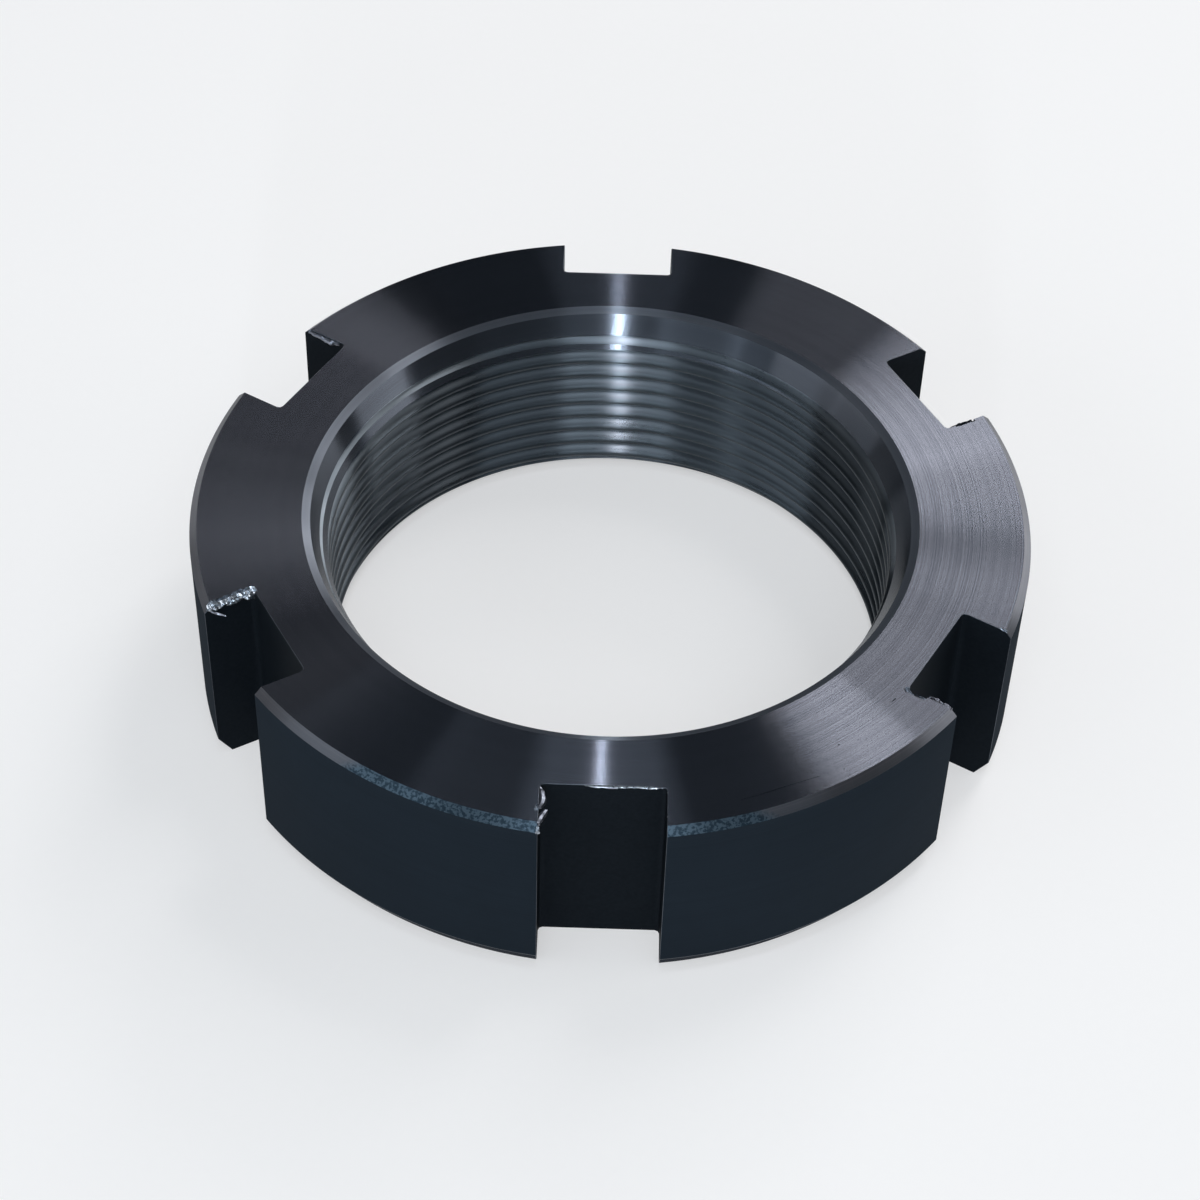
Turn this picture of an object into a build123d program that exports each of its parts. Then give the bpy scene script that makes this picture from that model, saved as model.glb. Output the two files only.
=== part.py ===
from build123d import *
import os
from math import radians, tan

# Slotted axle nut, in millimetres. The origin is the centre of the lower face, and +Z is the
# bore's axis. The first spanner slot opens towards -Y.

# Metric fine thread, right hand. The bore is finished at the crests of the nut's thread.
thread_diameter = 60.0
thread_pitch = 2.0
crest_drop_per_pitch = 1.0825

# Turned ring
ring_wall = 13.0
height = 22.0
rim_chamfer = 0.75
seat_chamfer_width = 1.4
seat_chamfer_angle = 30.0

# Lead-in at the top of the bore: a short edge chamfer, then a cone down to the thread
mouth_relief = 1.6
mouth_chamfer_width = 0.85
mouth_chamfer_depth = 0.4
lead_in_angle = 26.5

# Countersink at the lower end of the bore, at 45 degrees
seat_countersink_relief = 0.5

# Spanner slots, milled from face to face
slot_count = 6
slot_width = 12.0
slot_depth = 5.8
first_slot_angle = -90.0

thread_radius = thread_diameter / 2
crest_radius = (thread_diameter - crest_drop_per_pitch * thread_pitch) / 2
outside_radius = thread_radius + ring_wall
slot_floor_radius = outside_radius - slot_depth

mouth_radius = thread_radius + mouth_relief
cone_top_radius = mouth_radius - mouth_chamfer_width
cone_top = height - mouth_chamfer_depth
cone_foot = cone_top - (cone_top_radius - crest_radius) / tan(radians(lead_in_angle))
countersink_radius = thread_radius + seat_countersink_relief
countersink_top = countersink_radius - crest_radius

with BuildPart() as axle_nut:
    # The ring is turned from its half section, which carries the whole stepped bore.
    with BuildSketch(Plane.XZ):
        with BuildLine():
            Polyline(
                (outside_radius, 0),
                (outside_radius, height),
                (mouth_radius, height),
                (cone_top_radius, cone_top),
                (crest_radius, cone_foot),
                (crest_radius, countersink_top),
                (countersink_radius, 0),
                close=True,
            )
        make_face()
    revolve(axis=Axis.Z)

    # The rim is broken at 45 degrees on top, and more steeply round the face that seats.
    rim_edges = axle_nut.edges().filter_by(GeomType.CIRCLE).group_by(SortBy.RADIUS)[-1]
    chamfer(rim_edges.sort_by(Axis.Z)[-1], length=rim_chamfer)
    seat_face = axle_nut.faces().filter_by(Axis.Z).sort_by(Axis.Z)[0]
    seat_edge = seat_face.edges().sort_by(SortBy.RADIUS)[-1]
    chamfer(seat_edge, length=seat_chamfer_width, angle=90 - seat_chamfer_angle, reference=seat_face)

    # The slots are milled last, square to the axis, with flat floors and sharp corners.
    with BuildSketch(Plane.XY):
        with PolarLocations(slot_floor_radius, slot_count, start_angle=first_slot_angle):
            Rectangle(outside_radius, slot_width, align=(Align.MIN, Align.CENTER))
    extrude(amount=height, mode=Mode.SUBTRACT)

axle_nut.part.label = "axle_nut"

os.makedirs("parts", exist_ok=True)
export_step(axle_nut.part, "parts/axle_nut.step")
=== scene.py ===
# %% [markdown]
# # A slotted axle nut, from ring to worn steel
# This lesson dresses one machined part: a round nut, 86 mm across, that holds a hub on its spindle.
# The solid that comes from the CAD file has the right sizes but no thread, no tool marks and no
# wear. We turn the ring again in Blender with a section in hand, mill its slots, break their edges,
# cut a real screw thread through the bore, and then give each cut surface the finish its tool
# leaves.

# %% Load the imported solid
import math

import bpy
from mathutils import Matrix, Vector, noise


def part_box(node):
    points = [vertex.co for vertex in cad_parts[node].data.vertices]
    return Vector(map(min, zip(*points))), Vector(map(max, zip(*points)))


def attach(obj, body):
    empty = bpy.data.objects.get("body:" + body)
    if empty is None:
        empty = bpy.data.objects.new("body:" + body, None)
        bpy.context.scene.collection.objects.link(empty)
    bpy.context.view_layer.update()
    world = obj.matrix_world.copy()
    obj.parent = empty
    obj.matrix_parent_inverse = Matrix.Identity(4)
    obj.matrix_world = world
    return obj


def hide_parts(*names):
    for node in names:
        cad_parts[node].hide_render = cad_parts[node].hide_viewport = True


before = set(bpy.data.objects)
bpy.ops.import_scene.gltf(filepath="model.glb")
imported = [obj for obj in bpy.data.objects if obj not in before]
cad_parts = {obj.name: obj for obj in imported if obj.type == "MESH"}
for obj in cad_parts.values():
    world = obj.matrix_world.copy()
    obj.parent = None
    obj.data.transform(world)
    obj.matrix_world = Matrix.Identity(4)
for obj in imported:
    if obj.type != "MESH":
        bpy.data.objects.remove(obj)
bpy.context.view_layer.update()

# %% [markdown]
# ## Working by hand, in code
# Blender's operators act on whatever is selected, just as they do under the mouse. A few small
# helpers keep that tidy: one leaves a single object active, one enters edit mode with chosen parts
# selected. Sizes are written in millimetres and scaled to metres where they meet Blender.

# %% Helpers for selecting
MM = 0.001
# Points closer than SAME_POINT are merged, and NEAR is close enough to find a point by its place.
# Both are in metres.
SAME_POINT, NEAR = 1e-7, 1e-6


def activate(piece):
    """Leaves one object selected and active, in object mode."""
    if bpy.context.object and bpy.context.object.mode != "OBJECT":
        bpy.ops.object.mode_set(mode="OBJECT")
    bpy.ops.object.select_all(action="DESELECT")
    piece.select_set(True)
    bpy.context.view_layer.objects.active = piece
    return piece


def edit(piece, mode, vertices=(), edges=(), faces=()):
    """Enters edit mode with just these parts selected."""
    activate(piece)
    mesh = piece.data
    for parts in (mesh.vertices, mesh.edges, mesh.polygons):
        parts.foreach_set("select", [False] * len(parts))
    for parts, chosen in ((mesh.vertices, vertices), (mesh.edges, edges), (mesh.polygons, faces)):
        for index in chosen:
            parts[index].select = True
    bpy.ops.object.mode_set(mode="EDIT")
    bpy.ops.mesh.select_mode(type=mode)


def edit_all(piece):
    """Enters edit mode with the whole piece selected."""
    activate(piece)
    bpy.ops.object.mode_set(mode="EDIT")
    bpy.ops.mesh.select_mode(type="VERT")
    bpy.ops.mesh.select_all(action="SELECT")


def done(piece):
    """Goes back to object mode."""
    bpy.ops.object.mode_set(mode="OBJECT")
    return piece


def radius_of(point):
    """How far a point lies from the axis, in mm."""
    return math.hypot(point[0], point[1]) / MM


def report(piece, words):
    """Prints the size of a mesh, and how many of its edges don't join exactly two faces."""
    joined = {}
    for face in piece.data.polygons:
        for key in face.edge_keys:
            joined[key] = joined.get(key, 0) + 1
    loose = sum(1 for count in joined.values() if count != 2)
    vertices, faces = len(piece.data.vertices), len(piece.data.polygons)
    print(f"{words}: {vertices} vertices, {faces} faces, {loose} open edges")


# %% [markdown]
# ## Finishes as slots
# Every cut leaves its own surface, so the nut carries one material slot for each. The slots are
# filled with real materials further down. For now they only need names, because each tool that we
# use marks the faces it makes, and a Boolean keeps those marks on the faces it takes from the
# cutter.

# %% Name the finishes
FINISHES = ["turned_face", "outer_wall", "rim_chamfer", "seat_chamfer", "mouth_chamfer",
            "lead_in_cone", "thread", "milled_slot", "broken_edge", "worn_ridge", "torn_burr"]
finish = {name: bpy.data.materials.new(name) for name in FINISHES}
slot_of = {name: index for index, name in enumerate(FINISHES)}


def take_finishes(piece, first):
    """Gives a piece every finish, in the same order, and starts all its faces on one of them."""
    for name in FINISHES:
        piece.data.materials.append(finish[name])
    mesh_faces = piece.data.polygons
    mesh_faces.foreach_set("material_index", [slot_of[first]] * len(mesh_faces))


def count_faces(piece, name):
    """How many faces of a piece carry a finish."""
    return sum(1 for face in piece.data.polygons if face.material_index == slot_of[name])


# %% [markdown]
# ## The ring
# A nut like this starts as a bar in the lathe. What the lathe sees is one half section, spun round
# the axis, so that is how we make it: a single point is extruded from corner to corner round the
# section, the last edge closes it, and Spin carries it round. 288 steps give facets of 1.25
# degrees, and six slots at 60 degrees then all meet the facets in the same way.

# %% Sizes of the section
lowest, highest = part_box("axle_nut")
HEIGHT = (highest.z - lowest.z) / MM
OUTSIDE_RADIUS = (highest.x - lowest.x) / 2 / MM
RIM_CHAMFER = 0.75
SEAT_CHAMFER_WIDTH, SEAT_CHAMFER_HEIGHT = 1.4, 2.425
MOUTH_RADIUS = 31.6
MOUTH_CHAMFER_WIDTH, MOUTH_CHAMFER_DEPTH = 0.85, 0.4
CONE_ANGLE = 26.5
CREST_RADIUS = 28.9175
COUNTERSINK_RADIUS = 30.5
SPIN_STEPS = 288

cone_top_radius = MOUTH_RADIUS - MOUTH_CHAMFER_WIDTH
cone_top = HEIGHT - MOUTH_CHAMFER_DEPTH
cone_foot = cone_top - (cone_top_radius - CREST_RADIUS) / math.tan(math.radians(CONE_ANGLE))
half_section = [
    (OUTSIDE_RADIUS - SEAT_CHAMFER_WIDTH, 0),
    (OUTSIDE_RADIUS, SEAT_CHAMFER_HEIGHT),
    (OUTSIDE_RADIUS, HEIGHT - RIM_CHAMFER),
    (OUTSIDE_RADIUS - RIM_CHAMFER, HEIGHT),
    (MOUTH_RADIUS, HEIGHT),
    (cone_top_radius, cone_top),
    (CREST_RADIUS, cone_foot),
    (CREST_RADIUS, COUNTERSINK_RADIUS - CREST_RADIUS),
    (COUNTERSINK_RADIUS, 0),
]
print("nut:", round(2 * OUTSIDE_RADIUS, 2), "mm across,", round(HEIGHT, 2), "mm high")
print("the lead-in cone ends at height", round(cone_foot, 2))


# %% A helper that draws a section point by point
def draw_section(name, corners, closed):
    """Extrudes one vertex from corner to corner in the XZ plane, and joins the ends if asked."""
    first_r, first_z = corners[0]
    bpy.ops.object.select_all(action="DESELECT")
    bpy.ops.mesh.primitive_plane_add(size=MM, location=(first_r * MM, 0, first_z * MM))
    piece = bpy.context.object
    piece.name = piece.data.name = name
    edit_all(piece)
    bpy.ops.mesh.merge(type="CENTER")
    for (r0, z0), (r1, z1) in zip(corners, corners[1:]):
        step = ((r1 - r0) * MM, 0, (z1 - z0) * MM)
        bpy.ops.mesh.extrude_region_move(TRANSFORM_OT_translate={"value": step})
    done(piece)
    if closed:
        edit(piece, "VERT", vertices=(0, len(piece.data.vertices) - 1))
        bpy.ops.mesh.edge_face_add()
        done(piece)
    activate(piece)
    bpy.ops.object.transform_apply(location=True, rotation=True, scale=True)
    return piece


def close_up(piece, distance=SAME_POINT):
    """Merges doubled vertices and turns every face outwards."""
    edit_all(piece)
    bpy.ops.mesh.remove_doubles(threshold=distance)
    bpy.ops.mesh.select_all(action="SELECT")
    bpy.ops.mesh.normals_make_consistent(inside=False)
    return done(piece)


# %% Turn the ring
nut = draw_section("axle_nut_body", half_section, closed=True)
edit_all(nut)
bpy.ops.mesh.spin(steps=SPIN_STEPS, angle=math.tau, center=(0, 0, 0), axis=(0, 0, 1),
                  use_auto_merge=True)
done(nut)
close_up(nut)
take_finishes(nut, "turned_face")
report(nut, "ring")


# %% Mark which tool made each face
LEVEL, UPRIGHT = 0.99, 0.01
WALL_MARGIN = 0.1


def finish_at(radius, height, slope):
    """The finish of the turned ring at a place on it. slope is the z part of the face's normal."""
    if abs(slope) > LEVEL:
        return "turned_face"
    if radius > OUTSIDE_RADIUS - WALL_MARGIN and abs(slope) < UPRIGHT:
        return "outer_wall"
    if radius > OUTSIDE_RADIUS - SEAT_CHAMFER_WIDTH:
        return "rim_chamfer" if slope > 0 else "seat_chamfer"
    if abs(slope) < UPRIGHT:
        return "thread"
    return "mouth_chamfer" if height > cone_top else "lead_in_cone"


for face in nut.data.polygons:
    cut = finish_at(radius_of(face.center), face.center.z / MM, face.normal.z)
    face.material_index = slot_of[cut]
for name in ("turned_face", "outer_wall", "rim_chamfer", "mouth_chamfer", "lead_in_cone"):
    print("  ", name, count_faces(nut, name), "faces")

# %% [markdown]
# ## The spanner slots
# Six slots, 12 mm wide, are milled through the rim from face to face. One block cutter is placed on
# the slot that opens towards the viewer, then copied round the axis. The slots take their finish
# from the cutter's own slot, which saves hunting for their faces afterwards.

# %% Mill the slots
SLOT_COUNT = 6
SLOT_WIDTH = 12.0
SLOT_DEPTH = 5.8
SLOT_CORNER = 0.45
slot_floor = OUTSIDE_RADIUS - SLOT_DEPTH


def join_copies(piece, count):
    """Copies a piece round the axis, each copy with its own mesh, and joins them into one mesh."""
    copies = [piece]
    for k in range(1, count):
        copy = piece.copy()
        copy.data = piece.data.copy()
        copy.data.transform(Matrix.Rotation(math.tau * k / count, 4, "Z"))
        bpy.context.collection.objects.link(copy)
        copies.append(copy)
    activate(piece)
    for copy in copies:
        copy.select_set(True)
    bpy.ops.object.join()
    return piece


def combine(piece, tool, operation):
    """Cuts a piece with a tool, or adds the tool to it, and throws the tool away."""
    activate(piece)
    change = piece.modifiers.new("combine", "BOOLEAN")
    change.object, change.operation, change.solver = tool, operation, "MANIFOLD"
    bpy.ops.object.modifier_apply(modifier=change.name)
    bpy.data.objects.remove(tool)
    return piece


bpy.ops.object.select_all(action="DESELECT")
bpy.ops.mesh.primitive_cube_add(
    size=1, location=(0, -(slot_floor + SLOT_DEPTH) * MM, HEIGHT / 2 * MM),
    scale=(SLOT_WIDTH * MM, 2 * SLOT_DEPTH * MM, 2 * HEIGHT * MM))
cutter = bpy.context.object
cutter.name = "slot_cutter"
bpy.ops.object.transform_apply(location=True, rotation=True, scale=True)
corners = cutter.data.vertices
upright = [e.index for e in cutter.data.edges
           if abs(corners[e.vertices[0]].co.z - corners[e.vertices[1]].co.z) > HEIGHT * MM]
edit(cutter, "EDGE", edges=upright)
bpy.ops.mesh.bevel(offset=SLOT_CORNER * MM, segments=2, affect="EDGES")
done(cutter)
take_finishes(cutter, "milled_slot")
join_copies(cutter, SLOT_COUNT)
combine(nut, cutter, "DIFFERENCE")
report(nut, "with slots")
print("milled faces:", count_faces(nut, "milled_slot"))

# %% [markdown]
# ## Broken edges
# Nothing that has met a file is perfectly sharp. The slot edges get a bevel of a few hundredths of
# a millimetre, just wide enough to catch a light. First they are divided into short lengths,
# because a long thin face shades badly, and the burrs that come next cut short ones more cleanly.

# %% Find and divide the slot edges
EDGE_BREAK = 0.07
SEAT_EDGE_BREAK = 0.05
EDGE_LENGTH = 0.4


def edges_between(piece, first, others, longer_than=0.0):
    """Edges where a face of the first finish meets a face of one of the others."""
    sides = {}
    for face in piece.data.polygons:
        for key in face.edge_keys:
            sides.setdefault(key, []).append(FINISHES[face.material_index])
    found = []
    for edge in piece.data.edges:
        a, b = (piece.data.vertices[i].co for i in edge.vertices)
        here = sides[edge.key]
        meets = first in here and any(name in here for name in others)
        if meets and (a - b).length > longer_than * MM:
            found.append(edge.index)
    return found


edit_all(nut)
bpy.ops.mesh.remove_doubles(threshold=SAME_POINT)
done(nut)
around_slots = [name for name in FINISHES if name != "milled_slot"]
while edges_between(nut, "milled_slot", around_slots, EDGE_LENGTH):
    edit(nut, "EDGE", edges=edges_between(nut, "milled_slot", around_slots, EDGE_LENGTH))
    bpy.ops.mesh.subdivide(number_cuts=1)
    done(nut)
print("slot edges in", len(edges_between(nut, "milled_slot", around_slots)), "lengths")

# %% Bevel them, and the lower edge of the wall
for first, others, width in (("outer_wall", ["seat_chamfer"], SEAT_EDGE_BREAK),
                             ("milled_slot", around_slots, EDGE_BREAK)):
    edit(nut, "EDGE", edges=edges_between(nut, first, others))
    bpy.ops.mesh.bevel(offset=width * MM, offset_type="OFFSET", segments=1, affect="EDGES",
                       clamp_overlap=True, material=slot_of["broken_edge"])
    done(nut)
report(nut, "with broken edges")

# %% [markdown]
# ## Torn edges
# This nut was milled in a hurry. Where the cutter left the steel it pushed a little metal over the
# edge, and one slot carries a whole torn lip. Such a burr is a bead of metal of uneven thickness,
# so we pull one along the edge: a disc is extruded in short steps along a path, each step a little
# thicker or thinner, and a Displace modifier crumples it. A Boolean then welds the bead on, once
# what would stand above the face is pressed flat, or uses the bead to bite a ragged notch, a
# scratch or a pit.

# %% A helper that pulls a ragged bead
BEAD_SIDES = 8
BEAD_STEP = 0.14
FACE_CLEARANCE = 0.004
WANDER_SCALE = 2.3
CRUMPLE_SCALE = 0.28
crumple = bpy.data.textures.new("crumple", "CLOUDS")
crumple.noise_scale = CRUMPLE_SCALE * MM
crumple.noise_depth = 2
# The slots that get burrs, each by how many slots it lies round from the front one.
SLOT_PLACES = {"front": 0, "right": 1, "far_right": 2, "far_left": 4, "left": 5}


def pull_bead(name, path, rough, mark="torn_burr", sideways=False, uneven=0.3):
    """A closed bead along a path on the slot that opens towards the viewer.

    path lists (distance from the axis, distance from the slot's middle, height, thickness) in mm,
    rough is how far the crumpling moves its skin, and uneven how much its thickness wanders. A
    bead runs outwards, or sideways along a slot's floor.
    """
    u, w, z, r = path[0]
    bpy.ops.object.select_all(action="DESELECT")
    bpy.ops.mesh.primitive_circle_add(
        vertices=BEAD_SIDES, radius=r * MM, fill_type="NGON", location=(w * MM, -u * MM, z * MM),
        rotation=(0, math.pi / 2, 0) if sideways else (math.pi / 2, 0, 0))
    bead = bpy.context.object
    bead.name = bead.data.name = name
    bpy.ops.object.transform_apply(location=True, rotation=True, scale=True)
    edit_all(bead)
    for here, there in zip(path, path[1:]):
        steps = max(1, round(math.dist(here[:3], there[:3]) / BEAD_STEP))
        for k in range(1, steps + 1):
            now, new = ([a + (b - a) * t / steps for a, b in zip(here, there)]
                        for t in (k - 1, k))
            before, after = (Vector((place[1], -place[0], place[2])) for place in (now, new))
            thick_before, thick_after = (place[3] * (1 + uneven * noise.noise(at * WANDER_SCALE))
                                         for place, at in ((now, before), (new, after)))
            grow = thick_after / thick_before
            step = (after - before) * MM
            bpy.ops.mesh.extrude_region_move(TRANSFORM_OT_translate={"value": step})
            bpy.ops.transform.resize(value=(grow, grow, grow), center_override=after * MM)
    done(bead)
    close_up(bead)
    skin = bead.modifiers.new("crumple", "DISPLACE")
    skin.texture, skin.texture_coords = crumple, "LOCAL"
    skin.strength, skin.mid_level = 2 * rough * MM, 0.5
    activate(bead)
    bpy.ops.object.modifier_apply(modifier=skin.name)
    take_finishes(bead, mark)
    return bead


def to_slot(bead, slot):
    """Turns a bead from the front slot to another one."""
    bead.data.transform(Matrix.Rotation(math.tau * SLOT_PLACES[slot] / SLOT_COUNT, 4, "Z"))
    return bead


def weld(slot, bead):
    """Presses a bead flush with the face, and welds it to the edge of a slot."""
    flush = (HEIGHT - FACE_CLEARANCE) * MM
    proud = [v.index for v in bead.data.vertices if v.co.z > flush]
    if proud:
        edit(bead, "VERT", vertices=proud)
        bpy.ops.transform.resize(value=(1, 1, 0), center_override=(0, 0, flush))
        done(bead)
    combine(nut, to_slot(bead, slot), "UNION")


def bite(slot, bead):
    """Takes the shape of a bead out of the nut."""
    combine(nut, to_slot(bead, slot), "DIFFERENCE")


# %% The torn lip of the left front slot
bite("left", pull_bead("lip_bite", [
    (36.9, -6.2, 22.05, 0.4), (38.6, -6.3, 22.1, 0.56), (40.2, -6.2, 22.05, 0.44),
    (42.8, -6.25, 22.05, 0.44)], rough=0.14))
weld("left", pull_bead("torn_lip", [
    (37.0, -5.95, 21.6, 0.28), (37.6, -5.85, 21.55, 0.42), (38.6, -6.0, 21.62, 0.28),
    (39.4, -5.95, 21.58, 0.32), (40.3, -5.95, 21.62, 0.22), (41.2, -5.9, 21.6, 0.26),
    (42.3, -6.0, 21.6, 0.16)], rough=0.15, uneven=0.5))
weld("left", pull_bead("torn_flap", [
    (41.9, -6.0, 21.35, 0.18), (41.4, -5.6, 21.15, 0.16), (40.7, -5.1, 20.95, 0.06)],
    rough=0.04, mark="worn_ridge"))
report(nut, "with torn lip")

# %% The ragged edges of the front slot
bite("front", pull_bead("front_left_bite", [
    (39.75, -6.2, 22.0, 0.15), (40.1, -6.0, 21.9, 0.36), (40.45, -6.2, 22.0, 0.15)], rough=0.05))
weld("front", pull_bead("front_left_ridge", [
    (37.3, -6.0, 21.72, 0.16), (38.0, -5.8, 21.6, 0.38), (38.7, -5.72, 21.55, 0.44),
    (39.3, -5.74, 21.58, 0.46), (39.9, -5.95, 21.72, 0.26)],
    rough=0.05, mark="worn_ridge", uneven=0.2))
weld("front", pull_bead("front_left_curl", [
    (40.2, -5.3, 21.66, 0.22), (40.7, -5.6, 21.62, 0.36), (41.2, -5.85, 21.62, 0.36),
    (41.9, -6.05, 21.7, 0.24)], rough=0.05, mark="worn_ridge", uneven=0.2))
weld("front", pull_bead("front_left_corner", [
    (42.2, -6.0, 21.6, 0.18), (42.55, -5.98, 21.3, 0.2)], rough=0.06))
weld("front", pull_bead("front_floor_lip", [
    (37.2, -1.8, 21.96, 0.04), (37.24, -0.6, 21.94, 0.12), (37.24, 0.6, 21.92, 0.15),
    (37.24, 2.0, 21.93, 0.13), (37.22, 3.0, 21.94, 0.08), (37.24, 4.2, 21.93, 0.13),
    (37.2, 5.8, 21.96, 0.06)], rough=0.07, sideways=True, uneven=0.6))
weld("front", pull_bead("front_right_speck", [
    (37.75, 6.05, 21.92, 0.06), (38.0, 6.05, 21.92, 0.08)], rough=0.03))
weld("front", pull_bead("front_right_spur", [
    (40.4, 6.05, 21.92, 0.05), (40.8, 6.05, 21.92, 0.07)], rough=0.03))

# %% The other slots
bite("right", pull_bead("right_bite", [
    (36.9, -6.1, 22.0, 0.22), (37.9, -6.1, 22.0, 0.4), (38.5, -6.25, 22.0, 0.25),
    (39.3, -6.1, 22.0, 0.36)], rough=0.12, mark="broken_edge", uneven=0.5))
weld("right", pull_bead("right_ridge", [
    (39.4, -5.8, 21.75, 0.2), (40.2, -5.8, 21.72, 0.28), (41.9, -6.0, 21.8, 0.16)],
    rough=0.1, mark="turned_face"))
bite("right", pull_bead("right_near_corner", [
    (42.0, -6.15, 22.0, 0.2), (42.9, -6.1, 21.7, 0.34)], rough=0.04, mark="rim_chamfer"))
bite("right", pull_bead("right_far_corner", [
    (41.2, 6.1, 22.04, 0.1), (42.4, 6.08, 21.98, 0.24)], rough=0.05))
bite("far_right", pull_bead("far_right_bite", [
    (38.3, -6.05, 22.0, 0.15), (39.0, -6.0, 21.95, 0.3), (40.6, -6.05, 22.0, 0.26)],
    rough=0.1, mark="broken_edge"))
weld("far_right", pull_bead("far_right_ridge", [
    (37.6, -5.95, 21.8, 0.14), (39.0, -5.8, 21.6, 0.2), (40.4, -5.95, 21.7, 0.16)],
    rough=0.1, mark="milled_slot"))
weld("far_left", pull_bead("far_left_ridge", [
    (37.9, -6.0, 21.75, 0.18), (38.9, -5.85, 21.6, 0.3), (40.0, -5.9, 21.65, 0.26),
    (41.9, -6.0, 21.7, 0.2)], rough=0.10, mark="worn_ridge"))

# %% Scratches and pits on the face
SCRATCH_HEIGHT = 22.03
# name: (distance from the axis, distance from the front slot's middle, thickness), in mm
SCRATCHES = {
    "arc_scratch": [(38.38, 12.88, 0.06), (37.6, 14.9, 0.08), (36.74, 16.73, 0.08),
                    (35.9, 18.7, 0.07), (35.16, 20.42, 0.05)],
    "right_dash": [(25.6, 27.5, 0.06), (25.1, 27.95, 0.1)],
    "dot_1": [(31.3, 22.2, 0.1), (31.2, 22.3, 0.08)],
    "dot_2": [(30.6, 24.0, 0.1), (30.5, 24.15, 0.07)],
    "dot_3": [(34.3, 22.55, 0.08), (34.2, 22.7, 0.06)],
}
for name, path in SCRATCHES.items():
    path = [(u, w, SCRATCH_HEIGHT, thickness) for u, w, thickness in path]
    bite("front", pull_bead(name, path, rough=0.01, mark="milled_slot"))
report(nut, "with burrs and scratches")

# %% [markdown]
# ## The thread
# The bore carries a metric fine thread, 60 mm by 2 mm, right hand. A tap cuts it, so we make the
# tap: one pitch of its profile is drawn, the Screw modifier carries it round and up, its two ends
# are closed with discs, and a Boolean takes it out of the ring. The crests of the nut's thread are
# then the part of the bored wall that the tap leaves standing, and the runout through the lead-in
# cone comes by itself.

# %% Sizes of the tap
PITCH = 2.0
CORE_RADIUS = 28.6
THREAD_START = 0.6
TAP_TURNS = 15
TAP_LOWEST, TAP_HIGHEST = -8.0, 36.0
# Half a groove, from its middle up: (height, radius). Between the rounded root and the rounded
# crest the flank stands at 60 degrees to the axis.
HALF_GROOVE = [(0.03, 30.0), (0.10, 29.972), (0.17, 29.905), (0.55, 29.247), (0.64, 29.13),
               (0.74, 29.03), (0.84, 28.96), (0.96, 28.908)]

lower_half = [(r, -z) for z, r in reversed(HALF_GROOVE)]
upper_half = [(r, z) for z, r in HALF_GROOVE]
one_pitch = [(CORE_RADIUS, -PITCH / 2)] + lower_half + upper_half + [(CORE_RADIUS, PITCH / 2)]
tap_foot = THREAD_START - 2 * PITCH
tap_profile = [(r, z + tap_foot) for r, z in one_pitch]

# %% Screw the profile round the axis
tap = draw_section("tap", tap_profile, closed=False)
screw = tap.modifiers.new("screw", "SCREW")
screw.axis = "Z"
screw.angle = math.tau
screw.screw_offset = PITCH * MM
screw.iterations = TAP_TURNS
screw.steps = screw.render_steps = SPIN_STEPS
screw.use_merge_vertices = True
screw.merge_threshold = SAME_POINT
activate(tap)
bpy.ops.object.modifier_apply(modifier=screw.name)
edit_all(tap)
bpy.ops.mesh.remove_doubles(threshold=NEAR)
done(tap)
report(tap, "tap, open")


# %% Close the two ends of the tap
def rim_of(piece, above, height):
    """Vertices and edges of the open rim that lies above or below a height."""
    edit(piece, "VERT")
    bpy.ops.mesh.select_non_manifold(extend=False, use_wire=False, use_boundary=True,
                                     use_multi_face=False, use_non_contiguous=False,
                                     use_verts=False)
    done(piece)
    keep = [v.index for v in piece.data.vertices if v.select and (v.co.z / MM > height) == above]
    inside = set(keep)
    edges = [e.index for e in piece.data.edges if e.select and inside.issuperset(e.vertices)]
    return keep, edges


lower_end = tap_foot - PITCH / 2
for end_foot in (lower_end, lower_end + TAP_TURNS * PITCH):
    seam = [v.index for v in tap.data.vertices if abs(v.co.y) < NEAR and v.co.x > 0
            and -NEAR < v.co.z - end_foot * MM < PITCH * MM + NEAR]
    edit(tap, "VERT", vertices=seam)
    bpy.ops.mesh.edge_face_add()
    done(tap)

middle = tap_foot + TAP_TURNS * PITCH / 2
for above, flat in ((False, TAP_LOWEST), (True, TAP_HIGHEST)):
    rim_vertices, rim_edges = rim_of(tap, above, middle)
    edit(tap, "VERT", vertices=rim_vertices, edges=rim_edges)
    bpy.ops.mesh.extrude_region_move()
    bpy.ops.transform.resize(value=(1, 1, 0), center_override=(0, 0, flat * MM))
    bpy.ops.mesh.remove_doubles(threshold=NEAR)
    bpy.ops.mesh.edge_face_add()
    done(tap)

close_up(tap, NEAR)
take_finishes(tap, "thread")
report(tap, "tap, closed")

# %% Cut the thread
combine(nut, tap, "DIFFERENCE")
report(nut, "threaded nut")
for name in FINISHES:
    print("  ", name, count_faces(nut, name), "faces")

# %% Smooth the turned surfaces, keep the corners crisp
SMOOTH_BELOW = 25.0
activate(nut)
bpy.ops.object.shade_smooth_by_angle(angle=math.radians(SMOOTH_BELOW))

# %% Say what the piece stands for
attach(nut, "root")
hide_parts("axle_nut")

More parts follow.
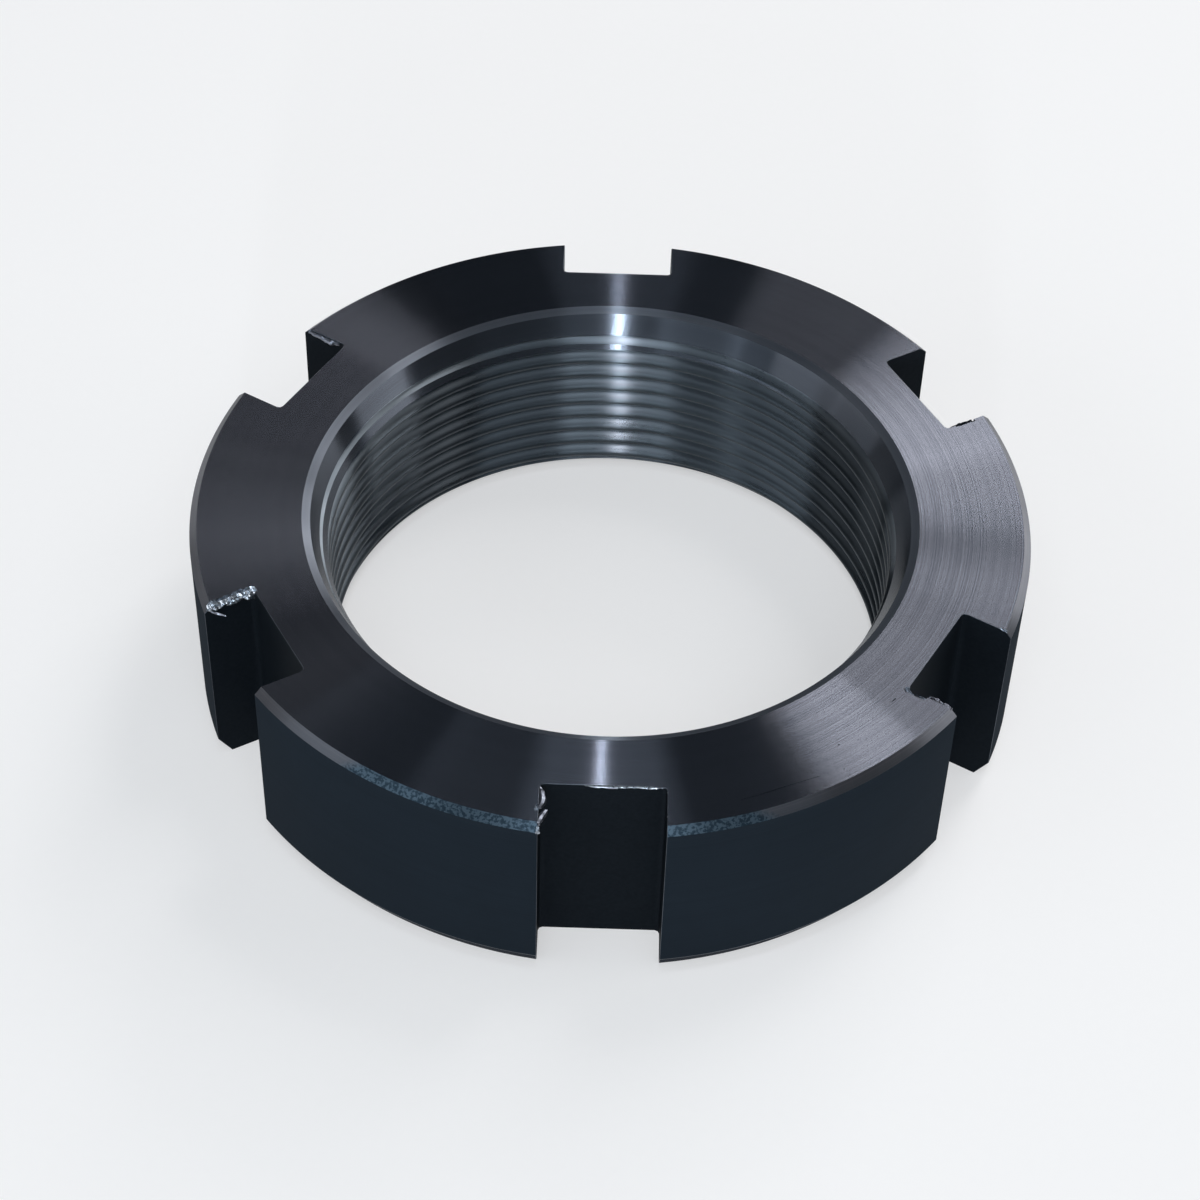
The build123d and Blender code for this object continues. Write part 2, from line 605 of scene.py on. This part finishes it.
# %% [markdown]
# ## Steel, as the tool leaves it
# All of the nut is one dark steel. What sets most of its surfaces apart is the direction of the
# tool marks: round the axis on everything that was turned, plain on what was milled. The outer
# wall, the slots, the seat chamfer and the thread's crests are also coloured darker, as painted
# shade. Fine grooves smear a highlight across themselves, so a turned face shows light as radial
# fans. The anisotropic setting of the shader does this, with a tangent that points across the
# grooves. On the top face most of the light goes into a second, thinner lobe, because one lobe
# can't be both wide enough across the grooves and narrow enough along them. Every pattern reads
# Object coordinates, so it stays on the steel when the view moves.


# %% Helpers for shader nodes
def node(tree, kind, inputs=None, **settings):
    """Adds a shader node, sets its properties, and links or sets its inputs."""
    made = tree.nodes.new("ShaderNode" + kind)
    for name, value in settings.items():
        setattr(made, name, value)
    for key, value in (inputs or {}).items():
        if isinstance(value, bpy.types.NodeSocket):
            tree.links.new(value, made.inputs[key])
        else:
            made.inputs[key].default_value = value
    return made


def math_node(tree, operation, a, b):
    """One number from two."""
    return node(tree, "Math", {0: a, 1: b}, operation=operation).outputs[0]


def vector_node(tree, operation, inputs, output=0):
    """A vector, or with output "Value" a number, from vectors."""
    return node(tree, "VectorMath", inputs, operation=operation).outputs[output]


def map_range(tree, value, source=(0.0, 1.0), target=(0.0, 1.0), **settings):
    """Stretches one range of a value to another, and holds it at the ends."""
    inputs = {"Value": value, "From Min": source[0], "From Max": source[1],
              "To Min": target[0], "To Max": target[1]}
    return node(tree, "MapRange", inputs, **settings).outputs[0]


def weigh(tree, first, second, share):
    """Adds two amounts, of which the second has this share of the weight."""
    return math_node(tree, "ADD", math_node(tree, "MULTIPLY", first, 1 - share),
                     math_node(tree, "MULTIPLY", second, share))


def blend_colour(tree, amount, first, second):
    """Goes from one colour to another as the amount goes from 0 to 1."""
    return node(tree, "Mix", {0: amount, 6: first, 7: second}, data_type="RGBA").outputs[2]


def rgb(r, g, b):
    """A colour as Blender keeps it, with its alpha."""
    return (r, g, b, 1.0)


def noise_over(tree, place, scale, detail, roughness=0.5):
    """Noise through space, in clouds of 1 / scale metres."""
    inputs = {"Vector": place, "Scale": scale, "Detail": detail, "Roughness": roughness}
    return node(tree, "TexNoise", inputs).outputs[0]


def noise_along(tree, turns, scale, roughness=0.5):
    """Noise along one direction, which makes lines square to it."""
    inputs = {"W": turns, "Scale": scale, "Detail": 2.0, "Roughness": roughness}
    return node(tree, "TexNoise", inputs, noise_dimensions="1D").outputs[0]


# %% Tool marks, as noise along one direction
MID_NOISE = (0.3, 0.7)
FINE_ROUGHNESS = 0.7
COARSE_SCALE, COARSE_SHARE = 0.13, 0.35


def tool_marks(tree, along, pitch):
    """Lines across a direction, pitch mm apart: the fine ones alone, and with coarse ones added."""
    turns = math_node(tree, "MULTIPLY", along, 1.0 / (pitch * MM))
    fine = noise_along(tree, turns, 1.0, FINE_ROUGHNESS)
    coarse = noise_along(tree, turns, COARSE_SCALE)
    return fine, weigh(tree, fine, coarse, COARSE_SHARE)


def lean_out(tree, across, fine, lean, tilt):
    """The surface's normal, leaned outwards by a slope that differs from line to line."""
    slope = map_range(tree, map_range(tree, fine, MID_NOISE), target=(lean - tilt, lean + tilt))
    push = vector_node(tree, "SCALE", {0: across, "Scale": slope})
    upright = node(tree, "NewGeometry").outputs["Normal"]
    return vector_node(tree, "NORMALIZE", {0: vector_node(tree, "ADD", {0: upright, 1: push})})


# %% Chips along the front of the rim
CHIP_PALE, CHIP_DARK = rgb(0.086, 0.126, 0.162), rgb(0.030, 0.048, 0.066)
# The chipped stretch faces this way. It starts where a point lies this far out, in metres.
CHIP_SIDE = (-0.113, -0.994, 0.0)
CHIPS_START, CHIPS_FULL = 0.0374, 0.0382
CHIP_SCALE, CHIP_EDGE = 3400.0, (0.42, 0.58)


def scatter_chips(tree, place, amount, dark, pale, flecks):
    """Breaks up the front of a chamfer: the new amount, and the two colours that it blends."""
    chips = map_range(tree, noise_over(tree, place, CHIP_SCALE, 2.0), CHIP_EDGE, (-flecks, flecks))
    ahead = vector_node(tree, "DOT_PRODUCT", {0: place, 1: CHIP_SIDE}, "Value")
    front = map_range(tree, ahead, (CHIPS_START, CHIPS_FULL))
    amount = math_node(tree, "ADD", amount, math_node(tree, "MULTIPLY", chips, front))
    amount = node(tree, "Clamp", {"Value": amount}).outputs[0]
    return (amount, blend_colour(tree, front, dark, CHIP_DARK),
            blend_colour(tree, front, pale, CHIP_PALE))


# %% The steel itself
SPECK_SCALE, CLOUD_SCALE = 2600.0, 70.0
STREAK_ROUGHNESS, STREAK_SPREAD = 0.205, -0.87


def steel(name, colour, worn, roughness, grooves=None, pitch=0.2, depth=0.001, spread=0.0,
          stain=0.25, metal=1.0, lean=0.0, tilt=0.0, streak=0.0, rise=None, flecks=0.0):
    """Tool-marked dark steel.

    colour and worn are the reflectance in the grooves and on rubbed spots, and roughness a
    (low, high) pair. grooves is the direction that the tool's lines are counted along: "radius"
    for facing cuts, "height" for cuts along a wall. pitch and depth are theirs, in mm, and spread
    is the anisotropy they cause. stain is the share of the blotches in the colour. metal below 1
    lays a dull skin over the steel. lean tips the surface outwards by that slope, as feed marks
    with one long flank do, and tilt is how far it differs from line to line. streak is the share
    of light that the grooves smear into a thin line. rise is a pair of radii between which the
    colour goes from the first to the second, and flecks scatters chips along the front.
    """
    finish[name].use_nodes = True
    tree = finish[name].node_tree
    tree.nodes.clear()
    place = node(tree, "TexCoord").outputs["Object"]
    height = node(tree, "SeparateXYZ", {0: place}).outputs[2]
    flat = vector_node(tree, "MULTIPLY", {0: place, 1: (1, 1, 0)})
    radius = vector_node(tree, "LENGTH", {0: flat}, "Value")

    if grooves:
        fine, lines = tool_marks(tree, radius if grooves == "radius" else height, pitch)
    else:
        lines = noise_over(tree, place, SPECK_SCALE, 2.0)
    if rise:
        marks = map_range(tree, radius, [r * MM for r in rise], interpolation_type="SMOOTHSTEP")
    else:
        marks = map_range(tree, lines, MID_NOISE)
    blotch = map_range(tree, noise_over(tree, place, CLOUD_SCALE, 5.0, 0.6), MID_NOISE)
    amount = weigh(tree, marks, blotch, stain)
    dark, pale = rgb(*colour), rgb(*worn)
    if flecks:
        amount, dark, pale = scatter_chips(tree, place, amount, dark, pale, flecks)
    skin = blend_colour(tree, amount, dark, pale)

    bump = node(tree, "Bump", {"Height": lines, "Strength": 1.0, "Distance": depth * MM})
    shader = node(tree, "BsdfPrincipled", {
        "Metallic": metal,
        "Base Color": skin,
        "Roughness": map_range(tree, weigh(tree, lines, blotch, 0.5), target=roughness),
        "Anisotropic": spread,
        "Specular IOR Level": 0.5 if metal == 1.0 else 0.0,
        "Normal": bump.outputs[0],
    })
    if grooves == "radius":
        across = vector_node(tree, "NORMALIZE", {0: flat})
        tree.links.new(across, shader.inputs["Tangent"])
        if lean:
            tree.links.new(lean_out(tree, across, fine, lean, tilt), bump.inputs["Normal"])
    elif grooves == "height":
        upright = node(tree, "CombineXYZ", {"X": 0.0, "Y": 0.0, "Z": 1.0}).outputs[0]
        tree.links.new(upright, shader.inputs["Tangent"])
    surface = shader.outputs[0]
    if streak:
        thin = node(tree, "BsdfAnisotropic", {
            "Color": skin, "Roughness": STREAK_ROUGHNESS, "Anisotropy": STREAK_SPREAD,
            "Normal": bump.outputs[0], "Tangent": across}, distribution="GGX")
        surface = node(tree, "MixShader", {0: streak, 1: surface, 2: thin.outputs[0]}).outputs[0]
    tree.links.new(surface, node(tree, "OutputMaterial").inputs["Surface"])


# %% [markdown]
# ## One finish for each cut
# The numbers say what each tool left, and on some cuts a painted shade as well. The facing cut on
# top leans outwards a little, as feed marks do. The outer wall and the slots are near-black and
# dull, a painted shade that keeps them dark instead of mirroring the pale table. The seat chamfer
# under the wall is darker still, a painted shade of the gap under the nut. The thread is painted
# dark on its crests and paler down in its grooves, and the dark crests are painted shade. Torn
# metal is bare, and so it is the palest of all.

# %% Finish each cut
steel("turned_face", (0.098, 0.105, 0.128), (0.146, 0.154, 0.182), (0.235, 0.265), "radius",
      pitch=0.13, spread=1.0, lean=0.14, tilt=0.06, streak=0.8)
# Painted shade: the wall is near-black and dull, so it stays dark instead of mirroring the pale
# table.
steel("outer_wall", (0.0130, 0.0180, 0.0238), (0.0165, 0.0232, 0.0310), (0.30, 0.36), "height",
      depth=0.0004, spread=0.3, stain=0.5, metal=0.05)
steel("rim_chamfer", (0.064, 0.070, 0.083), (0.150, 0.154, 0.172), (0.30, 0.36), "radius",
      spread=0.9, stain=0.5, flecks=0.6)
# Painted shade: the seat chamfer faces the table under the nut, and its near-black colour stands in
# for the shade there.
steel("seat_chamfer", (0.004, 0.008, 0.014), (0.008, 0.013, 0.022), (0.35, 0.45), "height",
      depth=0.0004, spread=0.3, stain=0.5, metal=0.22)
steel("mouth_chamfer", (0.070, 0.077, 0.092), (0.115, 0.126, 0.145), (0.19, 0.22), "radius",
      pitch=0.1, depth=0.0006, spread=1.0, metal=0.6)
steel("lead_in_cone", (0.080, 0.090, 0.110), (0.124, 0.140, 0.165), (0.22, 0.26), "height",
      pitch=0.12, depth=0.0006, spread=1.0)
# Painted shade: the crests are coloured dark and the flanks pale, so the crests stay dark instead
# of mirroring the pale table.
steel("thread", (0.048, 0.058, 0.067), (0.170, 0.195, 0.220), (0.26, 0.30), "radius",
      pitch=0.15, spread=1.0, rise=(28.95, 29.65))
# Painted shade: the slots are near-black and dull, so they stay dark in their notches instead of
# mirroring the pale table.
steel("milled_slot", (0.0070, 0.0095, 0.0125), (0.0115, 0.0150, 0.0190), (0.4, 0.5),
      stain=0.5, metal=0.20)
steel("broken_edge", (0.010, 0.013, 0.017), (0.15, 0.17, 0.20), (0.3, 0.4),
      depth=0.002, stain=0.75)
steel("worn_ridge", (0.13, 0.14, 0.17), (0.27, 0.29, 0.34), (0.30, 0.36),
      depth=0.0008, stain=0.4)
steel("torn_burr", (0.18, 0.21, 0.25), (0.50, 0.54, 0.59), (0.22, 0.32),
      depth=0.003, stain=0.3)
for name in FINISHES:
    print("  ", name, "has", len(finish[name].node_tree.nodes), "nodes")

# %% [markdown]
# ## The table and the lights
# The nut lies on a plain pale table. Part of the table's look is plain white for whatever sees it,
# so it stays pale, keeps the nut's shadow, and no lamp has to be turned up for it. The lights are
# soft panels and a few thin lamps. A polished groove shows a light where its normal lies halfway
# between the light and the eye, so each panel hangs where the fan it makes is wanted.

# %% Lay the table
TABLE_SIZE = 12.0
TABLE_GRAIN = 900.0
TABLE_DARK, TABLE_PALE = rgb(0.905, 0.892, 0.880), rgb(0.925, 0.912, 0.900)
# The share of the table's look that is plain white for whatever sees it.
TABLE_WHITE = 0.45
bpy.ops.object.select_all(action="DESELECT")
bpy.ops.mesh.primitive_plane_add(size=TABLE_SIZE, location=(0, 0, 0))
table = bpy.context.object
table.name = "table_top"
paper = bpy.data.materials.new("pale_table")
paper.use_nodes = True
tree = paper.node_tree
tree.nodes.clear()
place = node(tree, "TexCoord").outputs["Object"]
grain = noise_over(tree, place, TABLE_GRAIN, 3.0)
surface = node(tree, "BsdfPrincipled", {
    "Base Color": blend_colour(tree, grain, TABLE_DARK, TABLE_PALE),
    "Roughness": 0.8, "Specular IOR Level": 0.2})
ray = node(tree, "LightPath").outputs
seen = math_node(tree, "MAXIMUM", ray["Is Camera Ray"], ray["Is Glossy Ray"])
seen = math_node(tree, "MAXIMUM", seen, ray["Is Transmission Ray"])
white = node(tree, "Emission", {"Color": rgb(1.0, 1.0, 1.0), "Strength": 1.0})
share = math_node(tree, "MULTIPLY", seen, TABLE_WHITE)
top = node(tree, "MixShader", {0: share, 1: surface.outputs[0], 2: white.outputs[0]})
tree.links.new(top.outputs[0], node(tree, "OutputMaterial").inputs["Surface"])
table.data.materials.append(paper)
print("table:", TABLE_SIZE, "m square")

# %% Hang the lights
# name: azimuth and elevation in degrees, width and height in metres, brightness, colour
LIGHT_DISTANCE = 1.2
COOL, PLAIN, PINKISH = (0.90, 1.0, 1.09), (1.0, 0.99, 0.99), (1.0, 0.95, 1.0)
LIGHTS = {
    "lamp_by_the_camera": (-91, 58, 0.044, 0.32, 33.0, PINKISH),
    "lamp_overhead": (-91, 83, 0.02, 0.25, 42.0, COOL),
    "overhead_glow": (-90, 82, 0.34, 0.22, 2.2, COOL),
    "lamp_low": (-91, 11, 0.06, 0.30, 55.0, COOL),
    "lamp_behind": (89.8, 6, 0.016, 0.12, 22.0, COOL),
    "front_ceiling": (-90, 50, 0.66, 0.42, 2.9, COOL),
    "front_right_ceiling": (-50, 50, 0.60, 0.42, 1.0, COOL),
    "front_left_low": (-121, 24, 0.62, 0.36, 1.2, COOL),
    "front_left_ceiling": (-138, 67, 0.46, 0.24, 1.3, COOL),
    "right_ceiling": (-2, 54, 0.42, 0.34, 1.2, PLAIN),
    "right_high": (45, 62, 0.20, 0.17, 6.0, PLAIN),
    "right_panel": (52, 49, 0.33, 0.62, 4.2, PLAIN),
    "back_right_window": (67.5, 31, 0.27, 0.32, 7.8, PLAIN),
    "back_right_glow": (53, 28, 0.17, 0.15, 5.5, PLAIN),
    "back_right_low": (50, 8, 0.30, 0.28, 3.8, PLAIN),
    "back_right_edge": (78, 22, 0.16, 0.40, 1.0, PLAIN),
    "right_low": (34, 8, 0.40, 0.32, 4.6, PLAIN),
    "right_side_low": (1, 14, 0.50, 0.34, 4.2, PLAIN),
    "back_left_low": (135, 10, 0.36, 0.35, 1.7, PLAIN),
    "left_back_low": (155, 15, 0.30, 0.40, 0.8, PLAIN),
    "left_back_ceiling": (156, 50, 0.55, 0.40, 0.32, PLAIN),
    "left_side_low": (198, 6, 0.60, 0.20, 2.0, PLAIN),
    "left_low": (174, 5, 0.45, 0.20, 2.4, PLAIN),
    "left_window": (208, 30, 0.74, 0.42, 1.7, COOL),
}


def hang_light(name, azimuth, elevation, width, height, brightness, colour):
    """An area light that faces the nut. Its power grows with its area, and its brightness stays."""
    a, e = math.radians(azimuth), math.radians(elevation)
    towards = Vector((math.cos(a) * math.cos(e), math.sin(a) * math.cos(e), math.sin(e)))
    data = bpy.data.lights.new(name, "AREA")
    data.shape, data.size, data.size_y = "RECTANGLE", width, height
    data.energy = brightness * math.pi * width * height
    data.color = colour
    lamp = bpy.data.objects.new(name, data)
    lamp.location = towards * LIGHT_DISTANCE
    lamp.rotation_euler = (math.pi / 2 - e, 0, a + math.pi / 2)
    bpy.context.collection.objects.link(lamp)


for lamp_name, lamp_values in LIGHTS.items():
    hang_light(lamp_name, *lamp_values)
print("lights:", len(LIGHTS))

# %% Fill the air with a little light
AIR = rgb(0.04, 0.05, 0.06)
world = bpy.data.worlds.new("studio_air")
bpy.context.scene.world = world
world.use_nodes = True
air = world.node_tree.nodes["Background"]
air.inputs["Color"].default_value = AIR
air.inputs["Strength"].default_value = 1.0

# %% [markdown]
# ## The camera
# The camera looks down at 46 degrees through a longish lens, as a product photographer would stand
# over the table. It is turned a little on its own axis too, which is why the nut doesn't sit quite
# square in the frame. The view transform is plain, so that a colour renders as it is written.

# %% Set up the camera
CAMERA_PLACE = (-1.179, -212.506, 230.198)
CAMERA_TURN = (43.7366, -1.2775, 1.2425)
LENS, SENSOR = 87.08, 36.0
NEAREST_SEEN = 0.01
bpy.ops.object.camera_add(location=[v * MM for v in CAMERA_PLACE],
                          rotation=[math.radians(v) for v in CAMERA_TURN])
camera = bpy.context.object
camera.name = "photographer"
camera.data.sensor_width = SENSOR
camera.data.lens = LENS
camera.data.clip_start = NEAREST_SEEN
bpy.context.scene.camera = camera
bpy.context.scene.view_settings.view_transform = "Standard"
print("camera:", LENS, "mm lens,", round(camera.location.length, 3), "m from the nut")
